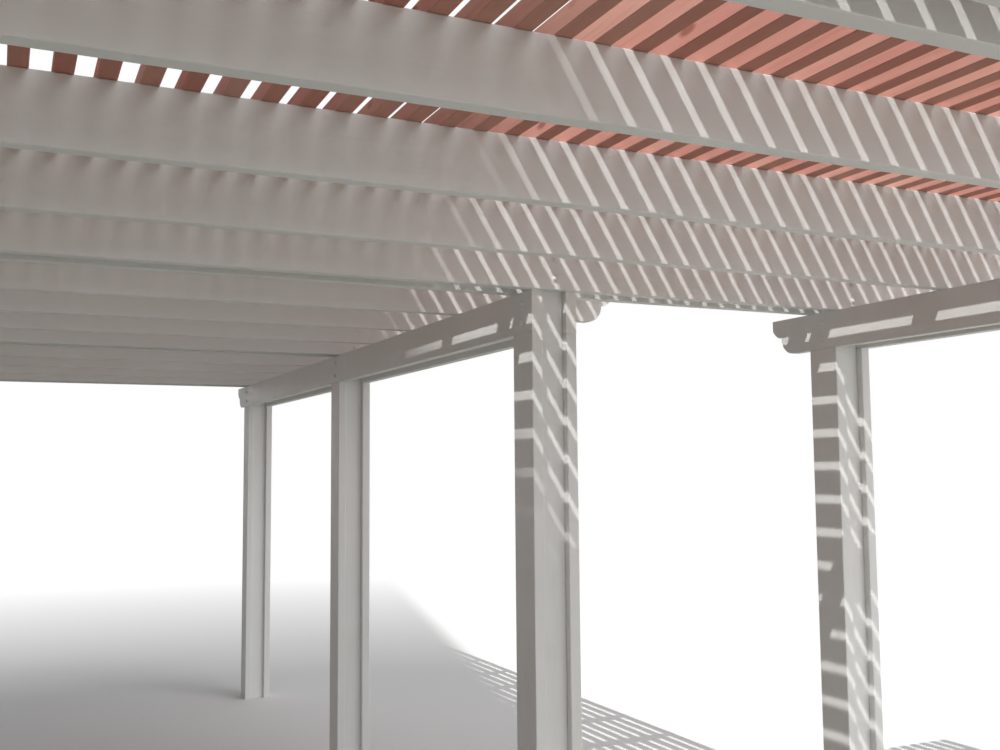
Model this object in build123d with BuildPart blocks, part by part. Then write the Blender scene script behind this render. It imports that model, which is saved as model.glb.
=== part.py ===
from build123d import *
import math
import os

# Timber sections, planed
boardThickness = 38.0
boardHeight = 140.0
coreWidth = 89.0
slatWidth = 38.0
slatHeight = 38.0

# Post rows run along Y, post lines run along X
bayLength = 2184.0
bayCount = 3
mainSpan = 2134.0
sideSpan = 1278.0
sideLines = 2

# Heights
beamUnderside = 1994.0

# How far the pieces run past what carries them, and the slats stay behind their tips
rafterReach = 518.0
beamReach = 215.0
slatSetback = 25.0

# Cut ends of beams, headers and rafters: a quarter-round lobe, a flatter one, a plain nose
lowerLobe = 66.0
upperLobeLength = 48.0
upperLobeHeight = 34.0
upperLobeBulge = 7.0

# Small sizes
slatGap = 38.0
raftersPerBay = 3
easedEdge = 2.0
buttGap = 2.0

# Sizes that follow from the ones above
postWidth = coreWidth + 2 * boardThickness
headerDepth = coreWidth + 2 * boardThickness
raftersBottom = beamUnderside + boardHeight
raftersTop = raftersBottom + boardHeight
beamTip = boardHeight / 2 + beamReach
rafterTip = postWidth / 2 + rafterReach
leftRow = -(mainSpan + sideSpan) / 2
middleRow = leftRow + mainSpan
rightRow = middleRow + sideSpan
lineY = [(line - bayCount / 2) * bayLength for line in range(bayCount + 1)]
stepLine = sideLines - 1
rows = {"left": leftRow, "middle": middleRow, "right": rightRow}
postLines = {
    "left": range(bayCount + 1),
    "middle": range(stepLine, bayCount + 1),
    "right": range(sideLines),
}

os.makedirs("parts", exist_ok=True)


def save(piece, name):
    piece.part.label = name
    export_step(piece.part, f"parts/{name}.step")


# The square middle of a post, running up between the beams and the header boards
def postCore(x, y):
    with BuildPart() as core:
        with BuildSketch(Plane((x, y, 0))):
            Rectangle(coreWidth, coreWidth)
        extrude(amount=raftersTop)
        chamfer(core.edges().filter_by(Axis.Z), length=easedEdge)
    return core


# The two boards on the sides of a post that carry the beams
def postCheeks(x, y):
    with BuildPart() as cheeks:
        with BuildSketch(Plane((x, y, 0))):
            with GridLocations(coreWidth + boardThickness, 0, 2, 1):
                Rectangle(boardThickness, boardHeight)
        extrude(amount=beamUnderside)
        chamfer(cheeks.edges().filter_by(Axis.Z), length=easedEdge)
    return cheeks


# The two lobes at one end of a board's outline, from its underside to its nose.
# way is 1 at the end that points along the outline's x axis and -1 at the other
def tailLine(tip, way, bottom):
    neck = tip - way * upperLobeLength
    root = neck - way * lowerLobe
    shelf = bottom + lowerLobe
    brow = shelf + upperLobeHeight
    halfway = lowerLobe * math.sqrt(0.5)
    lowerMid = (root + way * halfway, shelf - halfway)
    chord = math.hypot(upperLobeLength, upperLobeHeight)
    outward = upperLobeBulge * upperLobeHeight / chord
    downward = upperLobeBulge * upperLobeLength / chord
    upperMid = ((neck + tip) / 2 + way * outward, (shelf + brow) / 2 - downward)
    ThreePointArc((root, bottom), lowerMid, (neck, shelf))
    ThreePointArc((neck, shelf), upperMid, (tip, brow))
    Line((tip, brow), (tip, bottom + boardHeight))
    return root


# A board on edge, drawn on the plane of one of its faces, with cut or square ends
def edgeBoard(plane, start, end, bottom, startCut, endCut):
    top = bottom + boardHeight
    with BuildPart() as board:
        with BuildSketch(plane):
            with BuildLine():
                startRoot = start
                endRoot = end
                if startCut:
                    startRoot = tailLine(start, -1, bottom)
                else:
                    Line((start, bottom), (start, top))
                if endCut:
                    endRoot = tailLine(end, 1, bottom)
                else:
                    Line((end, bottom), (end, top))
                Line((startRoot, bottom), (endRoot, bottom))
                Line((start, top), (end, top))
            make_face()
        extrude(amount=boardThickness)
        lengthwise = Axis((0, 0, 0), plane.x_dir)
        chamfer(board.edges().filter_by(lengthwise), length=easedEdge)
    return board


# Faces of the paired boards that clasp a post core, as distances from its middle
def claspOffsets():
    return {"inner": -coreWidth / 2 - boardThickness, "outer": coreWidth / 2}


# One board of a beam, along Y, resting on the side boards of its posts
def beamBoard(x, offset, start, end, startCut, endCut):
    plane = Plane.YZ.offset(x + offset)
    return edgeBoard(plane, start, end, beamUnderside, startCut, endCut)


# A board along X whose near face lies at y
def crossPlane(y):
    return Plane((0, y, 0), x_dir=(1, 0, 0), z_dir=(0, -1, 0)).offset(-boardThickness)


# A single rafter between two post lines
def rafter(y, start, end):
    return edgeBoard(crossPlane(y), start, end, raftersBottom, True, True)


# The pair of boards that clasps the post cores of one line, in place of a rafter
def header(y, start, end):
    near = rafter(y - headerDepth / 2, start, end)
    far = rafter(y + coreWidth / 2, start, end)
    with BuildPart() as pair:
        add(near.part)
        add(far.part)
    return pair


# Slats laid along Y, from one index on the common spacing to another
def slats(first, last, start, end):
    centre = slatStart + slatWidth / 2 + (first + last - 1) * slatPitch / 2
    with BuildPart() as group:
        with BuildSketch(Plane((centre, (start + end) / 2, raftersTop))):
            with GridLocations(slatPitch, 0, last - first, 1):
                Rectangle(slatWidth, end - start)
        extrude(amount=slatHeight)
    return group


for row, x in rows.items():
    for line in postLines[row]:
        save(postCore(x, lineY[line]), f"post_core_{row}_{line + 1}")
        save(postCheeks(x, lineY[line]), f"post_cheeks_{row}_{line + 1}")

# Beams: the left row is jointed over its second post, the middle row starts flush there
nearTip = lineY[0] - beamTip
farTip = lineY[bayCount] + beamTip
stepY = lineY[stepLine]
beams = {
    "left_near": (leftRow, nearTip, stepY - buttGap / 2, True, False),
    "left_far": (leftRow, stepY + buttGap / 2, farTip, False, True),
    "middle": (middleRow, stepY - boardHeight / 2, farTip, False, True),
    "right": (rightRow, nearTip, stepY + beamTip, True, True),
}
for name, (x, start, end, startCut, endCut) in beams.items():
    for side, offset in claspOffsets().items():
        save(beamBoard(x, offset, start, end, startCut, endCut), f"beam_{name}_{side}")

# Headers and rafters: the wide part reaches the right row, the rest the middle row
rafterStart = leftRow - rafterTip
wideEnd = rightRow + rafterTip
narrowEnd = middleRow + rafterTip
clearGap = (bayLength - headerDepth - raftersPerBay * boardThickness) / (raftersPerBay + 1)
for line in range(bayCount + 1):
    end = wideEnd if line < sideLines else narrowEnd
    save(header(lineY[line], rafterStart, end), f"header_{line + 1}")
for bay in range(bayCount):
    end = wideEnd if bay < stepLine else narrowEnd
    firstY = lineY[bay] + headerDepth / 2 + clearGap
    for number in range(raftersPerBay):
        y = firstY + number * (boardThickness + clearGap)
        save(rafter(y, rafterStart, end), f"rafter_{bay + 1}_{number + 1}")

# Slats: whole lengths butt over the far header board of each line
slatStart = leftRow - rafterTip + slatSetback
narrowWidth = mainSpan + 2 * (rafterTip - slatSetback)
wideWidth = narrowWidth + sideSpan
slatPitch = (narrowWidth - slatWidth) / round((narrowWidth - slatWidth) / (slatWidth + slatGap))
narrowCount = round((narrowWidth - slatWidth) / slatPitch) + 1
wideCount = math.floor((wideWidth - slatWidth + slatSetback) / slatPitch) + 1
buttOffset = coreWidth / 2 + boardThickness / 2
endOffset = beamTip - slatSetback
slatNear = lineY[0] - endOffset
slatFar = lineY[bayCount] + endOffset
for bay in range(bayCount):
    start = slatNear if bay == 0 else lineY[bay] + buttOffset + buttGap / 2
    end = slatFar if bay == bayCount - 1 else lineY[bay + 1] + buttOffset - buttGap / 2
    save(slats(0, narrowCount, start, end), f"slats_{bay + 1}")
save(slats(narrowCount, wideCount, slatNear, stepY + endOffset), "slats_side")
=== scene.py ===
import bpy
import math
from mathutils import Matrix, Vector


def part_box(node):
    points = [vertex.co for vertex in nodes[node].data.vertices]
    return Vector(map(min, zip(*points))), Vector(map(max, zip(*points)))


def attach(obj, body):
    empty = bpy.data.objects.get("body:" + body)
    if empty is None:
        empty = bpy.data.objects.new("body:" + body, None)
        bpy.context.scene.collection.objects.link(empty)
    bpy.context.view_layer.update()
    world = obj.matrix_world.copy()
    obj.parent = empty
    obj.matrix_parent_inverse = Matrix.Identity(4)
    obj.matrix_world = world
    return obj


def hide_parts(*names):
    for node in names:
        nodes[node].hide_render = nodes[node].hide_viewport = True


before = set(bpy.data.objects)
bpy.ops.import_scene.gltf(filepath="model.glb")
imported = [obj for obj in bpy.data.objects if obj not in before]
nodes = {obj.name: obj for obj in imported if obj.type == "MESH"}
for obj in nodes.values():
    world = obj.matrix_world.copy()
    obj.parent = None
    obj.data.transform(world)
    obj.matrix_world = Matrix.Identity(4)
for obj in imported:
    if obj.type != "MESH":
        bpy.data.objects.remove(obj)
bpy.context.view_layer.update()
print("frame loaded:", len(nodes), "nodes")


# short helpers for objects and node trees

def addObject(name, data):
    item = bpy.data.objects.new(name, data)
    bpy.context.scene.collection.objects.link(item)
    return item


def plug(tree, socket, value):
    # a value is either another node's output or a plain number, vector or colour
    if isinstance(value, bpy.types.NodeSocket):
        tree.links.new(value, socket)
    else:
        socket.default_value = value


def addNode(tree, kind, inputs=None, **settings):
    # inputs go by their name or their number
    node = tree.nodes.new(kind)
    for key, value in settings.items():
        setattr(node, key, value)
    for key, value in (inputs or {}).items():
        plug(tree, node.inputs[key], value)
    return node


def mathNode(tree, operation, a, b=0.0):
    return addNode(tree, "ShaderNodeMath", {0: a, 1: b}, operation=operation).outputs[0]


def product(tree, a, b):
    return mathNode(tree, "MULTIPLY", a, b)


def vectorMath(tree, operation, a, b=(0, 0, 0)):
    node = addNode(tree, "ShaderNodeVectorMath", {0: a, 1: b}, operation=operation)
    return node.outputs["Value" if operation in ("DOT_PRODUCT", "LENGTH") else "Vector"]


def joinAxes(tree, x=0.0, y=0.0, z=0.0):
    return addNode(tree, "ShaderNodeCombineXYZ", {0: x, 1: y, 2: z}).outputs[0]


def splitAxes(tree, vector):
    return addNode(tree, "ShaderNodeSeparateXYZ", {0: vector}).outputs


def remap(tree, value, low, high, newLow=0.0, newHigh=1.0):
    inputs = {0: value, 1: low, 2: high, 3: newLow, 4: newHigh}
    return addNode(tree, "ShaderNodeMapRange", inputs).outputs[0]


def blendColour(tree, amount, a, b):
    return addNode(tree, "ShaderNodeMix", {0: amount, 6: a, 7: b}, data_type="RGBA").outputs[2]


def layColour(tree, colour, tint, amount, mask, place):
    # lays a tint on where the mask and the place both count
    share = product(tree, product(tree, mask, place), amount)
    return blendColour(tree, share, colour, tint)


def objectPlace(tree):
    return addNode(tree, "ShaderNodeTexCoord").outputs["Object"]


def grainCoordinate(tree, along):
    # object coordinates turned so that the fibres run along the first axis
    turns = {"x": (0, 0, 0), "y": (0, 0, -math.pi / 2), "z": (0, math.pi / 2, 0)}
    inputs = {"Vector": objectPlace(tree), "Rotation": turns[along]}
    return addNode(tree, "ShaderNodeMapping", inputs).outputs[0]


def stretchedNoise(tree, coordinate, stretch, detail, rough, distortion, shift):
    stretched = addNode(tree, "ShaderNodeMapping", {
        "Vector": coordinate, "Scale": stretch, "Location": shift,
    })
    noise = addNode(tree, "ShaderNodeTexNoise", {
        "Vector": stretched.outputs[0], "Scale": 1.0, "Detail": detail,
        "Roughness": rough, "Distortion": distortion,
    })
    return noise.outputs["Fac"]


edge = {
    "radius": 0.003,
    "samples": 6,
    "turn": (0.995, 0.80),  # from a flat face to a full corner
}


def edgeMask(tree):
    # near one where the surface turns a corner within the radius
    inputs = {"Radius": edge["radius"]}
    rounded = addNode(tree, "ShaderNodeBevel", inputs, samples=edge["samples"]).outputs[0]
    normal = addNode(tree, "ShaderNodeNewGeometry").outputs["Normal"]
    return remap(tree, vectorMath(tree, "DOT_PRODUCT", rounded, normal), *edge["turn"])


def newMaterial(name):
    material = bpy.data.materials.new(name)
    material.use_nodes = True
    tree = material.node_tree
    tree.nodes.clear()
    shader = addNode(tree, "ShaderNodeBsdfPrincipled")
    addNode(tree, "ShaderNodeOutputMaterial", {"Surface": shader.outputs[0]})
    return material, tree, shader


def addBump(tree, shader, layers):
    # each layer is a height, its depth in metres and its strength; the last one sits on top
    normal = None
    for height, depth, strength in layers:
        bump = addNode(tree, "ShaderNodeBump", {
            "Height": height, "Distance": depth, "Strength": strength,
        })
        if normal is not None:
            plug(tree, bump.inputs["Normal"], normal)
        normal = bump.outputs[0]
    plug(tree, shader.inputs["Normal"], normal)


# painted boards, stained slats and dull zinc
# a pattern is its stretch, detail, roughness, distortion and shift; a range is where a value
# starts and ends to count and, where that isn't 0 and 1, what it is turned into there;
# a bump is its depth in metres and its strength

paint = {
    "body": (0.745, 0.755, 0.750, 1),
    "aged": (0.708, 0.711, 0.694, 1),
    "thin": (0.600, 0.575, 0.510, 1),
    "grime": (0.36, 0.33, 0.28, 1),
    "clouds": ((1.1, 1.1, 1.1), 4, 0.6, 0, (0, 0, 0)),
    "streaks": ((1.6, 34, 34), 5, 0.6, 0.4, (0, 0, 0)),
    "brush": ((5, 260, 260), 3, 0.65, 0.2, (3, 1, 7)),
    "rings": ((0.9, 75, 75), 4, 0.55, 1.6, (9, 4, 2)),
    "patches": ((7, 22, 22), 3, 0.6, 0, (1, 8, 5)),
    "agedClouds": (0.35, 0.68),
    "agedStreaks": (0.52, 0.78, 0, 0.45),
    "thinRings": (0.60, 0.74),
    "thinPatches": (0.45, 0.7),
    "thinAmount": 0.24,
    "wornPatches": (0.40, 0.66),
    "wornAmount": 0.80,
    "grimeClouds": (0.5, 0.8),
    "grimePatches": (0.5, 0.8),
    "grimeAmount": 0.18,
    "roughness": (0.3, 0.75, 0.38, 0.58),
    "specular": 0.35,
    "streakBump": (0.002, 0.3),
    "ringBump": (0.0006, 0.35),
    "brushBump": (0.0004, 0.4),
}


def makePaint(name, along):
    material, tree, shader = newMaterial(name)
    fibre = grainCoordinate(tree, along)
    clouds = stretchedNoise(tree, objectPlace(tree), *paint["clouds"])
    parts = ("streaks", "brush", "rings", "patches")
    streaks, brush, rings, patches = (stretchedNoise(tree, fibre, *paint[part]) for part in parts)
    agedClouds = remap(tree, clouds, *paint["agedClouds"])
    agedStreaks = remap(tree, streaks, *paint["agedStreaks"])
    colour = blendColour(tree, agedClouds, paint["body"], paint["aged"])
    colour = blendColour(tree, agedStreaks, colour, paint["aged"])
    for tint, amount, mask, place in (
        ("thin", "thinAmount", remap(tree, rings, *paint["thinRings"]), "thinPatches"),
        ("thin", "wornAmount", edgeMask(tree), "wornPatches"),
        ("grime", "grimeAmount", remap(tree, clouds, *paint["grimeClouds"]), "grimePatches"),
    ):
        where = remap(tree, patches, *paint[place])
        colour = layColour(tree, colour, paint[tint], paint[amount], mask, where)
    plug(tree, shader.inputs["Base Color"], colour)
    plug(tree, shader.inputs["Roughness"], remap(tree, patches, *paint["roughness"]))
    shader.inputs["Specular IOR Level"].default_value = paint["specular"]
    addBump(tree, shader, [
        (streaks, *paint["streakBump"]), (rings, *paint["ringBump"]), (brush, *paint["brushBump"]),
    ])
    return material


stain = {
    "body": (0.655, 0.335, 0.275, 1),
    "dark": (0.450, 0.195, 0.148, 1),
    "faded": (0.700, 0.400, 0.335, 1),
    "bare": (0.740, 0.560, 0.450, 1),
    "knot": (0.300, 0.110, 0.080, 1),
    # painted shade, laid on the faces that look down
    "underShadeColour": (0.440, 0.200, 0.152, 1),
    "blotch": ((2.2, 12, 12), 4, 0.6, 0, (0, 0, 0)),
    "streaks": ((3, 110, 110), 5, 0.62, 0.6, (4, 2, 9)),
    "saw": ((420, 40, 40), 2, 0.6, 0.3, (2, 6, 1)),
    "fuzz": ((60, 500, 500), 3, 0.7, 0, (5, 5, 3)),
    "fadedBlotch": (0.35, 0.7),
    "darkStreaks": (0.52, 0.74, 0, 0.45),
    "knotScale": (11, 30, 30),
    "knotEdge": (0.34, 0.18),
    "knotChance": (0.945, 0.955),  # only the cells above this have a knot
    "knotAmount": 0.75,
    "underShadeFacing": (-0.4, -0.8, 0, 0.85),
    "underShadeStreaks": (0.35, 0.7, 0, 0.6),
    "wornBlotch": (0.35, 0.6),
    "wornAmount": 0.7,
    "toneShift": (37.0, 11.0),  # along and across the fibres
    "toneHue": (0.494, 0.506),
    "toneSaturation": (1.08, 0.90),
    "toneValue": (0.90, 1.08),
    "roughness": (0.3, 0.75, 0.66, 0.88),
    "specular": 0.2,
    "streakBump": (0.0015, 0.5),
    "sawBump": (0.0006, 0.4),
    "fuzzBump": (0.0004, 0.4),
}


def makeStain(name):
    material, tree, shader = newMaterial(name)
    # every slat carries its own tone, which also moves its grain
    tone = addNode(tree, "ShaderNodeAttribute", attribute_name="tone").outputs["Fac"]
    shift = joinAxes(tree, *(product(tree, tone, far) for far in stain["toneShift"]))
    fibre = vectorMath(tree, "ADD", grainCoordinate(tree, "y"), shift)
    parts = ("blotch", "streaks", "saw", "fuzz")
    blotch, streaks, saw, fuzz = (stretchedNoise(tree, fibre, *stain[part]) for part in parts)
    fadedBlotch = remap(tree, blotch, *stain["fadedBlotch"])
    darkStreaks = remap(tree, streaks, *stain["darkStreaks"])
    colour = blendColour(tree, fadedBlotch, stain["body"], stain["faded"])
    colour = blendColour(tree, darkStreaks, colour, stain["dark"])
    # a few small knots, in one cell out of many
    cells = addNode(tree, "ShaderNodeMapping", {"Vector": fibre, "Scale": stain["knotScale"]})
    knots = addNode(tree, "ShaderNodeTexVoronoi", {"Vector": cells.outputs[0], "Scale": 1.0})
    chosen = addNode(tree, "ShaderNodeSeparateColor", {0: knots.outputs["Color"]}).outputs[0]
    colour = layColour(
        tree, colour, stain["knot"], stain["knotAmount"],
        remap(tree, knots.outputs["Distance"], *stain["knotEdge"]),
        remap(tree, chosen, *stain["knotChance"]),
    )
    # painted shade: faces that look down are painted a darker brown, streaked along the grain, for
    # the shade under the slats
    normal = addNode(tree, "ShaderNodeNewGeometry").outputs["Normal"]
    underShadeAmount = remap(tree, splitAxes(tree, normal)[2], *stain["underShadeFacing"])
    underShadeStreaks = remap(tree, streaks, *stain["underShadeStreaks"])
    underShadeMix = blendColour(tree, underShadeStreaks, stain["underShadeColour"], stain["dark"])
    colour = blendColour(tree, underShadeAmount, colour, underShadeMix)
    toned = addNode(tree, "ShaderNodeHueSaturation", {
        "Hue": remap(tree, tone, 0, 1, *stain["toneHue"]),
        "Saturation": remap(tree, tone, 0, 1, *stain["toneSaturation"]),
        "Value": remap(tree, tone, 0, 1, *stain["toneValue"]),
        "Color": colour,
    })
    colour = layColour(
        tree, toned.outputs[0], stain["bare"], stain["wornAmount"],
        edgeMask(tree), remap(tree, blotch, *stain["wornBlotch"]),
    )
    plug(tree, shader.inputs["Base Color"], colour)
    plug(tree, shader.inputs["Roughness"], remap(tree, streaks, *stain["roughness"]))
    shader.inputs["Specular IOR Level"].default_value = stain["specular"]
    addBump(tree, shader, [
        (streaks, *stain["streakBump"]), (saw, *stain["sawBump"]), (fuzz, *stain["fuzzBump"]),
    ])
    return material


zinc = {
    "body": (0.45, 0.43, 0.40, 1),
    "rust": (0.30, 0.15, 0.08, 1),
    "spots": ((90, 90, 90), 3, 0.6, 0, (0, 0, 0)),
    "places": ((6, 6, 6), 2, 0.5, 0, (2, 7, 1)),
    "rustSpots": (0.48, 0.66),
    "rustPlaces": (0.3, 0.7, 0, 0.5),
    "roughness": (0.3, 0.7, 0.45, 0.75),
    "metallic": 0.6,
    "spotBump": (0.0003, 0.4),
}


def makeZinc(name):
    material, tree, shader = newMaterial(name)
    spots, places = (
        stretchedNoise(tree, objectPlace(tree), *zinc[part]) for part in ("spots", "places")
    )
    colour = blendColour(tree, remap(tree, spots, *zinc["rustSpots"]), zinc["body"], zinc["rust"])
    colour = blendColour(tree, remap(tree, places, *zinc["rustPlaces"]), colour, zinc["rust"])
    plug(tree, shader.inputs["Base Color"], colour)
    plug(tree, shader.inputs["Roughness"], remap(tree, spots, *zinc["roughness"]))
    shader.inputs["Metallic"].default_value = zinc["metallic"]
    addBump(tree, shader, [(spots, *zinc["spotBump"])])
    return material


paintAlongX = makePaint("creamPaintAcross", "x")
paintAlongY = makePaint("creamPaintLengthwise", "y")
paintAlongZ = makePaint("creamPaintUpright", "z")
redStain = makeStain("redBrownStain")
dullZinc = makeZinc("dullZinc")

finishes = {
    "post": paintAlongZ,
    "beam": paintAlongY,
    "header": paintAlongX,
    "rafter": paintAlongX,
    "slats": redStain,
}
for name, node in nodes.items():
    finish = finishes[name.split("_")[0]]
    for materialSlot in node.material_slots:
        materialSlot.material = finish
    if not node.material_slots:
        node.data.materials.append(finish)
print("finishes on the timber")


# pieces grown by geometry nodes

def newGroup(name, measures, counts, takesMesh=False):
    # every group also takes a seed and a finish
    sockets = [("Geometry", "OUTPUT", "NodeSocketGeometry")]
    if takesMesh:
        sockets.append(("Geometry", "INPUT", "NodeSocketGeometry"))
    sockets += [(label, "INPUT", "NodeSocketFloat") for label in measures]
    sockets += [(label, "INPUT", "NodeSocketInt") for label in (*counts, "Seed")]
    sockets.append(("Finish", "INPUT", "NodeSocketMaterial"))
    tree = bpy.data.node_groups.new(name, "GeometryNodeTree")
    for label, way, kind in sockets:
        tree.interface.new_socket(name=label, in_out=way, socket_type=kind)
    given = addNode(tree, "NodeGroupInput").outputs
    wanted = addNode(tree, "NodeGroupOutput").inputs[0]
    return tree, given, wanted


def growPiece(name, tree, values, mesh=None):
    # runs the tree on an object of its own and keeps the result as a plain mesh
    holder = addObject(name + "_seed", mesh or bpy.data.meshes.new(name + "_seed"))
    modifier = holder.modifiers.new("grow", "NODES")
    modifier.node_group = tree
    for item in tree.interface.items_tree:
        if item.in_out == "INPUT" and item.name in values:
            modifier[item.identifier] = values[item.name]
    bpy.context.view_layer.update()
    evaluated = holder.evaluated_get(bpy.context.evaluated_depsgraph_get())
    result = bpy.data.meshes.new_from_object(evaluated)
    result.name = name
    holder.modifiers.remove(modifier)
    bpy.data.objects.remove(holder)
    return addObject(name, result)


def finishPiece(piece, slot, *replaced):
    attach(piece, "root")
    if replaced:
        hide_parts(*replaced)
    print(piece.name, len(piece.data.polygons), "faces")


def shadeFaces(tree, geometry, smooth):
    return addNode(tree, "GeometryNodeSetShadeSmooth", {
        "Geometry": geometry, "Shade Smooth": smooth,
    }).outputs[0]


def dressResult(tree, geometry, given, wanted):
    dressed = addNode(tree, "GeometryNodeSetMaterial", {
        "Geometry": geometry, "Material": given["Finish"],
    })
    tree.links.new(dressed.outputs[0], wanted)


def randomNumber(tree, most, seed):
    # from nothing to the most, its own for each point or copy
    inputs = {3: most, "Seed": seed}
    return addNode(tree, "FunctionNodeRandomValue", inputs, data_type="FLOAT").outputs[1]


# the slats, one field for each CAD node

slat = {
    "width": 0.0360,
    "height": 0.0374,
    "ease": 0.0016,
    "pieces": 6,
    "bow": 0.0035,
    "bowStep": 7.31,  # in the noise, from one slat to the next
    "bowRate": 0.9,  # in the noise, for each metre along a slat
    "trim": 0.005,
    "spacing": 0.0755,
    "solidWidth": 0.038,  # of the slats in the solids
    "toneSeed": 40.0,
}


def makeSlatTree():
    measures = (
        "Pitch", "First X", "Near Y", "Length", "Base Z", "Width", "Height", "Ease", "Bow", "Trim",
    )
    tree, given, wanted = newGroup("slatField", measures, ("Count", "Pieces"))
    # one slat, a metre long, with its corners eased
    line = addNode(tree, "GeometryNodeCurvePrimitiveLine", {
        "Start": (0, -0.5, 0), "End": (0, 0.5, 0),
    })
    points = addNode(tree, "GeometryNodeResampleCurve", {
        "Curve": line.outputs[0], "Count": mathNode(tree, "ADD", given["Pieces"], 1.0),
    })
    square = addNode(tree, "GeometryNodeCurvePrimitiveQuadrilateral", {
        "Width": given["Width"], "Height": given["Height"],
    })
    eased = addNode(tree, "GeometryNodeFilletCurve", {
        "Curve": square.outputs[0], "Radius": given["Ease"], "Count": 1,
    }, mode="POLY")
    sweep = addNode(tree, "GeometryNodeCurveToMesh", {
        "Curve": points.outputs[0], "Profile Curve": eased.outputs[0], "Fill Caps": True,
    })
    # the row of slats, each cut a little short and with a tone of its own
    middle = mathNode(tree, "ADD", given["Near Y"], product(tree, given["Length"], 0.5))
    centre = mathNode(tree, "ADD", given["Base Z"], product(tree, given["Height"], 0.5))
    row = addNode(tree, "GeometryNodeMeshLine", {
        "Count": given["Count"], "Start Location": joinAxes(tree, given["First X"], middle, centre),
        "Offset": joinAxes(tree, given["Pitch"]),
    })
    trim = randomNumber(tree, given["Trim"], given["Seed"])
    length = mathNode(tree, "SUBTRACT", given["Length"], trim)
    copies = addNode(tree, "GeometryNodeInstanceOnPoints", {
        "Points": row.outputs[0], "Instance": sweep.outputs[0],
        "Scale": joinAxes(tree, 1.0, length, 1.0),
    })
    toneSeed = mathNode(tree, "ADD", given["Seed"], slat["toneSeed"])
    toned = addNode(tree, "GeometryNodeStoreNamedAttribute", {
        "Geometry": copies.outputs[0], "Name": "tone", "Value": randomNumber(tree, 1.0, toneSeed),
    }, data_type="FLOAT", domain="INSTANCE")
    solid = addNode(tree, "GeometryNodeRealizeInstances", {0: toned.outputs[0]})
    # a slight sideways bow, its own for each slat
    place = splitAxes(tree, addNode(tree, "GeometryNodeInputPosition").outputs[0])
    fromFirst = mathNode(tree, "SUBTRACT", place[0], given["First X"])
    number = mathNode(tree, "ROUND", mathNode(tree, "DIVIDE", fromFirst, given["Pitch"]))
    sample = joinAxes(
        tree, product(tree, number, slat["bowStep"]),
        product(tree, place[1], slat["bowRate"]), given["Seed"],
    )
    wander = addNode(tree, "ShaderNodeTexNoise", {"Vector": sample, "Scale": 1.0, "Detail": 1.0})
    swing = mathNode(tree, "SUBTRACT", wander.outputs["Fac"], 0.5)
    bowed = addNode(tree, "GeometryNodeSetPosition", {
        "Geometry": solid.outputs[0], "Offset": joinAxes(tree, product(tree, swing, given["Bow"])),
    })
    dressResult(tree, shadeFaces(tree, bowed.outputs[0], False), given, wanted)
    return tree


slatTree = makeSlatTree()
slatFields = {
    "slats_near_bay": "slats_1",
    "slats_middle_bay": "slats_2",
    "slats_far_bay": "slats_3",
    "slats_wide_part": "slats_side",
}
fieldSpans = {}
for seed, (name, node) in enumerate(slatFields.items(), 1):
    low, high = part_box(node)
    firstX = low.x + slat["solidWidth"] / 2
    run = high.x - low.x - slat["solidWidth"]
    count = round(run / slat["spacing"]) + 1
    pitch = run / (count - 1)
    fieldSpans[node] = (firstX, pitch, count, low.y, high.y)
    piece = growPiece(name, slatTree, {
        "Count": count, "Pitch": pitch, "First X": firstX, "Near Y": low.y,
        "Length": high.y - low.y, "Base Z": low.z, "Width": slat["width"],
        "Height": slat["height"], "Ease": slat["ease"], "Pieces": slat["pieces"],
        "Bow": slat["bow"], "Trim": slat["trim"], "Seed": seed, "Finish": redStain,
    })
    finishPiece(piece, "stained_slats", node)


# bolts through the post crossings and screws down through the slats

def placeOnPoints(tree, given, shape, wanted):
    # one copy at each point, standing the way the point faces and turned at random about that
    facing = addNode(tree, "GeometryNodeInputNamedAttribute", {
        "Name": "facing",
    }, data_type="FLOAT_VECTOR").outputs[0]
    aim = addNode(tree, "FunctionNodeAlignRotationToVector", {"Vector": facing}, axis="Z")
    copies = addNode(tree, "GeometryNodeInstanceOnPoints", {
        "Points": given["Geometry"], "Instance": shape, "Rotation": aim.outputs[0],
    })
    spin = joinAxes(tree, z=randomNumber(tree, math.tau, given["Seed"]))
    turned = addNode(tree, "GeometryNodeRotateInstances", {
        "Instances": copies.outputs[0], "Rotation": spin, "Local Space": True,
    })
    solid = addNode(tree, "GeometryNodeRealizeInstances", {0: turned.outputs[0]})
    dressResult(tree, solid.outputs[0], given, wanted)


def standingCylinder(tree, sides, rings, radius, height):
    # as deep in the timber as it stands out of it
    return addNode(tree, "GeometryNodeMeshCylinder", {
        "Vertices": sides, "Side Segments": rings, "Radius": radius,
        "Depth": product(tree, height, 2.0),
    }, fill_type="NGON").outputs[0]


def joinParts(tree, *parts):
    joined = addNode(tree, "GeometryNodeJoinGeometry")
    for part in parts:
        tree.links.new(part, joined.inputs[0])
    return joined.outputs[0]


def makeFastenerTree():
    measures = ("Head Radius", "Head Height", "Washer Radius", "Washer Height")
    tree, given, wanted = newGroup("fastenerField", measures, ("Sides", "Rings"), True)
    dome = addNode(tree, "GeometryNodeMeshUVSphere", {
        "Segments": given["Sides"], "Rings": given["Rings"], "Radius": 1.0,
    })
    head = addNode(tree, "GeometryNodeTransform", {
        "Geometry": dome.outputs[0],
        "Scale": joinAxes(tree, given["Head Radius"], given["Head Radius"], given["Head Height"]),
        "Translation": joinAxes(tree, z=given["Washer Height"]),
    })
    rounded = shadeFaces(tree, head.outputs[0], True)
    washerSize = (given["Washer Radius"], given["Washer Height"])
    washer = standingCylinder(tree, given["Sides"], 1, *washerSize)
    placeOnPoints(tree, given, joinParts(tree, rounded, washer), wanted)
    return tree


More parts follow.
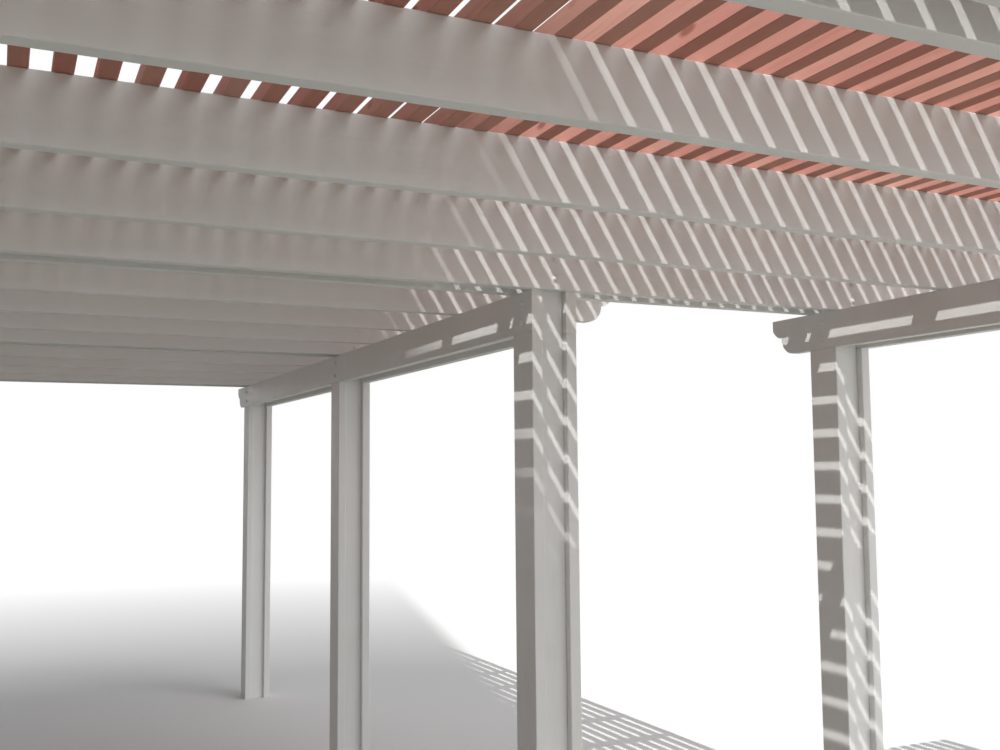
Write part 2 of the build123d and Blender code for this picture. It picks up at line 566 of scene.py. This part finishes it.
bolt = {
    "head": 0.0095,
    "rise": 0.0055,
    "sides": 16,
    "rings": 8,
    "seed": 11,
    "washer": 0.0125,
    "plate": 0.0016,
    "heights": (0.037, 0.101),  # above the underside of the boards
    "splicedPost": "left_2",
    "spliceStep": 0.024,
    "nut": 0.0105,
    "nutHeight": 0.008,
    "nutSides": 6,
    "nutRings": 6,
    "nutSeed": 12,
    "cornerFrom": 0.9,  # of the nut's height
    "cornerCut": 0.07,
    "shank": 0.005,
    "shankSides": 12,
    "end": 0.013,
}


def makeNutTree():
    measures = (
        "Nut Radius", "Nut Height", "Washer Radius", "Washer Height",
        "End Radius", "End Length", "Corner Cut",
    )
    tree, given, wanted = newGroup("nutField", measures, (), True)
    top = mathNode(tree, "ADD", given["Nut Height"], given["Washer Height"])
    block = standingCylinder(tree, bolt["nutSides"], bolt["nutRings"], given["Nut Radius"], top)
    washerSize = (given["Washer Radius"], given["Washer Height"])
    washer = standingCylinder(tree, bolt["sides"], 1, *washerSize)
    end = standingCylinder(tree, bolt["shankSides"], 1, given["End Radius"], given["End Length"])
    # the nut's corners are cut back at its ends
    position = addNode(tree, "GeometryNodeInputPosition").outputs[0]
    height = mathNode(tree, "ABSOLUTE", splitAxes(tree, position)[2])
    share = mathNode(tree, "DIVIDE", height, given["Nut Height"])
    atEnd = mathNode(tree, "GREATER_THAN", share, bolt["cornerFrom"])
    shrink = mathNode(tree, "SUBTRACT", 1.0, product(tree, atEnd, given["Corner Cut"]))
    nut = addNode(tree, "GeometryNodeSetPosition", {
        "Geometry": block,
        "Position": vectorMath(tree, "MULTIPLY", position, joinAxes(tree, shrink, shrink, 1.0)),
    })
    placeOnPoints(tree, given, joinParts(tree, nut.outputs[0], washer, end), wanted)
    return tree


def pointMesh(name, places):
    mesh = bpy.data.meshes.new(name)
    mesh.from_pydata([point for point, facing in places], [], [])
    facings = mesh.attributes.new("facing", "FLOAT_VECTOR", "POINT")
    for number, (point, facing) in enumerate(places):
        facings.data[number].vector = facing
    return mesh


fastenerTree = makeFastenerTree()
headPlaces = []
nutPlaces = []
for post in sorted(name[len("post_core_"):] for name in nodes if name.startswith("post_core_")):
    low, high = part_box("post_core_" + post)
    cheekLow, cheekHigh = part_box("post_cheeks_" + post)
    headerLow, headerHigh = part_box("header_" + post.split("_")[1])
    x = (low.x + high.x) / 2
    y = (low.y + high.y) / 2
    # a splice over the post gets a pair of bolts in each board end
    steps = (-bolt["spliceStep"], bolt["spliceStep"]) if post == bolt["splicedPost"] else (0,)
    for rise in bolt["heights"]:
        headPlaces.append(((x, headerLow.y, headerLow.z + rise), (0, -1, 0)))
        nutPlaces.append(((x, headerHigh.y, headerLow.z + rise), (0, 1, 0)))
        for step in steps:
            headPlaces.append(((cheekLow.x, y + step, cheekHigh.z + rise), (-1, 0, 0)))
            nutPlaces.append(((cheekHigh.x, y + step, cheekHigh.z + rise), (1, 0, 0)))
bolts = growPiece("post_bolts", fastenerTree, {
    "Head Radius": bolt["head"], "Head Height": bolt["rise"], "Washer Radius": bolt["washer"],
    "Washer Height": bolt["plate"], "Sides": bolt["sides"], "Rings": bolt["rings"],
    "Seed": bolt["seed"], "Finish": paintAlongZ,
}, pointMesh("headPlaces", headPlaces))
finishPiece(bolts, "painted_timber")
nuts = growPiece("post_nuts", makeNutTree(), {
    "Nut Radius": bolt["nut"], "Nut Height": bolt["nutHeight"], "Washer Radius": bolt["washer"],
    "Washer Height": bolt["plate"], "End Radius": bolt["shank"], "End Length": bolt["end"],
    "Corner Cut": bolt["cornerCut"], "Seed": bolt["nutSeed"], "Finish": paintAlongZ,
}, pointMesh("nutPlaces", nutPlaces))
finishPiece(nuts, "painted_timber")

screw = {
    "head": 0.0042,
    "rise": 0.0004,
    "sides": 8,
    "rings": 3,
    "seed": 13,
    "rim": 0.0045,
    "sink": 0.0001,
    "stagger": (0.0025, 0.005),  # across and along the slat, to one side and then the other
    "boardMiddle": 0.019,
    "endRoom": 0.013,
}

boardLines = []
for name in nodes:
    if name.startswith("rafter_"):
        boardLines.append(sum(corner.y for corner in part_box(name)) / 2)
    elif name.startswith("header_"):
        low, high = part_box(name)
        boardLines += [low.y + screw["boardMiddle"], high.y - screw["boardMiddle"]]
screwPlaces = []
aside, onward = screw["stagger"]
for node, (firstX, pitch, count, nearY, farY) in fieldSpans.items():
    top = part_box(node)[0].z + slat["height"]
    for y in sorted(boardLines):
        if nearY - screw["boardMiddle"] < y < farY + screw["boardMiddle"]:
            # where two slats meet over a board, each is held near its own end
            y = min(max(y, nearY + screw["endRoom"]), farY - screw["endRoom"])
            for number in range(count):
                way = 1 if number % 2 else -1
                x = firstX + number * pitch + way * aside
                screwPlaces.append(((x, y + way * onward, top), (0, 0, 1)))
screws = growPiece("slat_screws", fastenerTree, {
    "Head Radius": screw["head"], "Head Height": screw["rise"] - screw["sink"],
    "Washer Radius": screw["rim"], "Washer Height": screw["sink"],
    "Sides": screw["sides"], "Rings": screw["rings"], "Seed": screw["seed"], "Finish": dullZinc,
}, pointMesh("screwPlaces", screwPlaces))
finishPiece(screws, "stained_slats")
print("fasteners:", len(headPlaces), "bolts,", len(nutPlaces), "nuts,", len(screwPlaces), "screws")


# the floor, the lamps and the camera

studio = {
    "floorSize": 60.0,
    "floorDrop": 0.0005,
    "floorColour": (0.80, 0.80, 0.79, 1),  # as the camera sees it
    "floorBounce": (0.57, 0.56, 0.51, 1),  # as it lights the part
    "floorDust": (0.5, 0.5, 0.5, 1),
    "floorClouds": ((0.8, 0.8, 0.8), 3, 0.5, 0, (0, 0, 0)),
    "dustClouds": (0.3, 0.7, 0, 0.04),
    "floorRoughness": 0.9,
    "floorSpecular": 0.1,
    "floorFade": (4.0, 11.0),  # from the middle of the floor to the white beyond it
    "white": (1, 1, 1, 1),
    "worldColour": (0.96, 0.97, 1.0, 1),
    "horizonStrength": 1.25,
    "zenithStrength": 0.34,
    "horizonBand": 0.5,
    "worldLean": (0.70, -0.50, 0.0),
    "broadDirection": (-0.35, 0.72, -0.60),
    "broadStrength": 0.8,
    "broadAngle": 40,
    "beamDirection": (0.476, 0.393, -0.787),
    "beamColour": (1.0, 0.985, 0.96),
    "beamStrength": 3.35,
    "beamSpread": 0.5,
    "beamSize": (18.0, 28.0),
    "beamDistance": 30.0,
    "beamEdge": ((-0.37, -2.73, 2.27), (1.05, 3.20, 2.27)),
}

half = studio["floorSize"] / 2
floorCorners = [(-half, -half, 0), (half, -half, 0), (half, half, 0), (-half, half, 0)]
floorMesh = bpy.data.meshes.new("floor")
floorMesh.from_pydata(floorCorners, [], [(0, 1, 2, 3)])
floor = addObject("floor", floorMesh)
floor.location.z = -studio["floorDrop"]
floorMaterial, floorTree, floorShader = newMaterial("paleFloor")
floorPlace = objectPlace(floorTree)
floorClouds = stretchedNoise(floorTree, floorPlace, *studio["floorClouds"])
floorDust = remap(floorTree, floorClouds, *studio["dustClouds"])
fromCamera = addNode(floorTree, "ShaderNodeLightPath").outputs["Is Camera Ray"]
floorTone = blendColour(floorTree, fromCamera, studio["floorBounce"], studio["floorColour"])
floorTone = blendColour(floorTree, floorDust, floorTone, studio["floorDust"])
plug(floorTree, floorShader.inputs["Base Color"], floorTone)
floorShader.inputs["Roughness"].default_value = studio["floorRoughness"]
floorShader.inputs["Specular IOR Level"].default_value = studio["floorSpecular"]
# far off the floor runs into the white backdrop
floorReach = vectorMath(floorTree, "LENGTH", floorPlace)
floorFar = product(floorTree, remap(floorTree, floorReach, *studio["floorFade"]), fromCamera)
floorGlow = addNode(floorTree, "ShaderNodeEmission", {"Color": studio["white"]})
floorLook = addNode(floorTree, "ShaderNodeMixShader", {
    0: floorFar, 1: floorShader.outputs[0], 2: floorGlow.outputs[0],
})
plug(floorTree, floorTree.nodes["Material Output"].inputs["Surface"], floorLook.outputs[0])
floorMesh.materials.append(floorMaterial)

world = bpy.data.worlds.new("studio")
bpy.context.scene.world = world
world.use_nodes = True
worldTree = world.node_tree
worldTree.nodes.clear()
# the soft light is strongest near the horizon and leans to one side, as from wide lamps
sky = addNode(worldTree, "ShaderNodeTexCoord").outputs["Generated"]
lean = vectorMath(worldTree, "DOT_PRODUCT", sky, studio["worldLean"])
band = remap(
    worldTree, splitAxes(worldTree, sky)[2],
    0, studio["horizonBand"], studio["horizonStrength"], studio["zenithStrength"],
)
softLight = addNode(worldTree, "ShaderNodeBackground", {
    "Color": studio["worldColour"],
    "Strength": product(worldTree, mathNode(worldTree, "ADD", lean, 1.0), band),
})
backdrop = addNode(worldTree, "ShaderNodeBackground", {"Color": studio["white"], "Strength": 1.0})
rays = addNode(worldTree, "ShaderNodeLightPath").outputs
seen = mathNode(worldTree, "MAXIMUM", rays["Is Camera Ray"], rays["Is Glossy Ray"])
seen = mathNode(worldTree, "MAXIMUM", seen, rays["Is Transmission Ray"])
worldLook = addNode(worldTree, "ShaderNodeMixShader", {
    0: seen, 1: softLight.outputs[0], 2: backdrop.outputs[0],
})
addNode(worldTree, "ShaderNodeOutputWorld", {"Surface": worldLook.outputs[0]})

broad = bpy.data.lights.new("broadLamp", "SUN")
broad.energy = studio["broadStrength"]
broad.angle = math.radians(studio["broadAngle"])
broadObject = addObject("broadLamp", broad)
broadTurn = Vector(studio["broadDirection"]).to_track_quat("-Z", "Y")
broadObject.rotation_euler = broadTurn.to_euler()

# a narrow lamp, shuttered along one edge so that it stays on the right part
across = Vector(studio["beamDirection"]).normalized()
edgeStart, edgeEnd = (Vector(point) for point in studio["beamEdge"])
along = edgeEnd - edgeStart
along = (along - across * along.dot(across)).normalized()
sideways = along.cross(-across)
wide, deep = studio["beamSize"]
beam = bpy.data.lights.new("shutteredLamp", "AREA")
beam.shape = "RECTANGLE"
beam.size = wide
beam.size_y = deep
beam.spread = math.radians(studio["beamSpread"])
beam.energy = studio["beamStrength"] * wide * deep
beam.color = studio["beamColour"]
beamObject = addObject("shutteredLamp", beam)
beamPlace = (edgeStart + edgeEnd) / 2 + sideways * wide / 2 - across * studio["beamDistance"]
beamTurn = Matrix((sideways, along, -across)).transposed()
beamObject.matrix_world = Matrix.Translation(beamPlace) @ beamTurn.to_4x4()
beamObject.visible_camera = False

view = {
    "place": (-1.2165, -4.2496, 1.5523),
    "heading": 25.091,
    "rise": 4.949,
    "roll": -0.470,
    "focal": 1069.81,  # in pixels, as the frame's width is
    "frameWidth": 1000,
    "sensor": 36.0,
    "nearest": 0.02,
    "farthest": 200,
}

camera = bpy.data.cameras.new("eyeLevel")
camera.sensor_fit = "HORIZONTAL"
camera.sensor_width = view["sensor"]
camera.lens = view["sensor"] * view["focal"] / view["frameWidth"]
camera.clip_start = view["nearest"]
camera.clip_end = view["farthest"]
heading, rise, roll = (math.radians(view[part]) for part in ("heading", "rise", "roll"))
forward = Vector((
    math.sin(heading) * math.cos(rise), math.cos(heading) * math.cos(rise), math.sin(rise),
))
level = Vector((math.cos(heading), -math.sin(heading), 0))
right = level * math.cos(roll) + level.cross(forward) * math.sin(roll)
upward = right.cross(forward)
viewTurn = Matrix((right, upward, -forward)).transposed()
cameraObject = addObject("eyeLevel", camera)
cameraObject.matrix_world = Matrix.Translation(Vector(view["place"])) @ viewTurn.to_4x4()
bpy.context.scene.camera = cameraObject

bpy.context.scene.view_settings.view_transform = "Standard"
print("camera and light set")
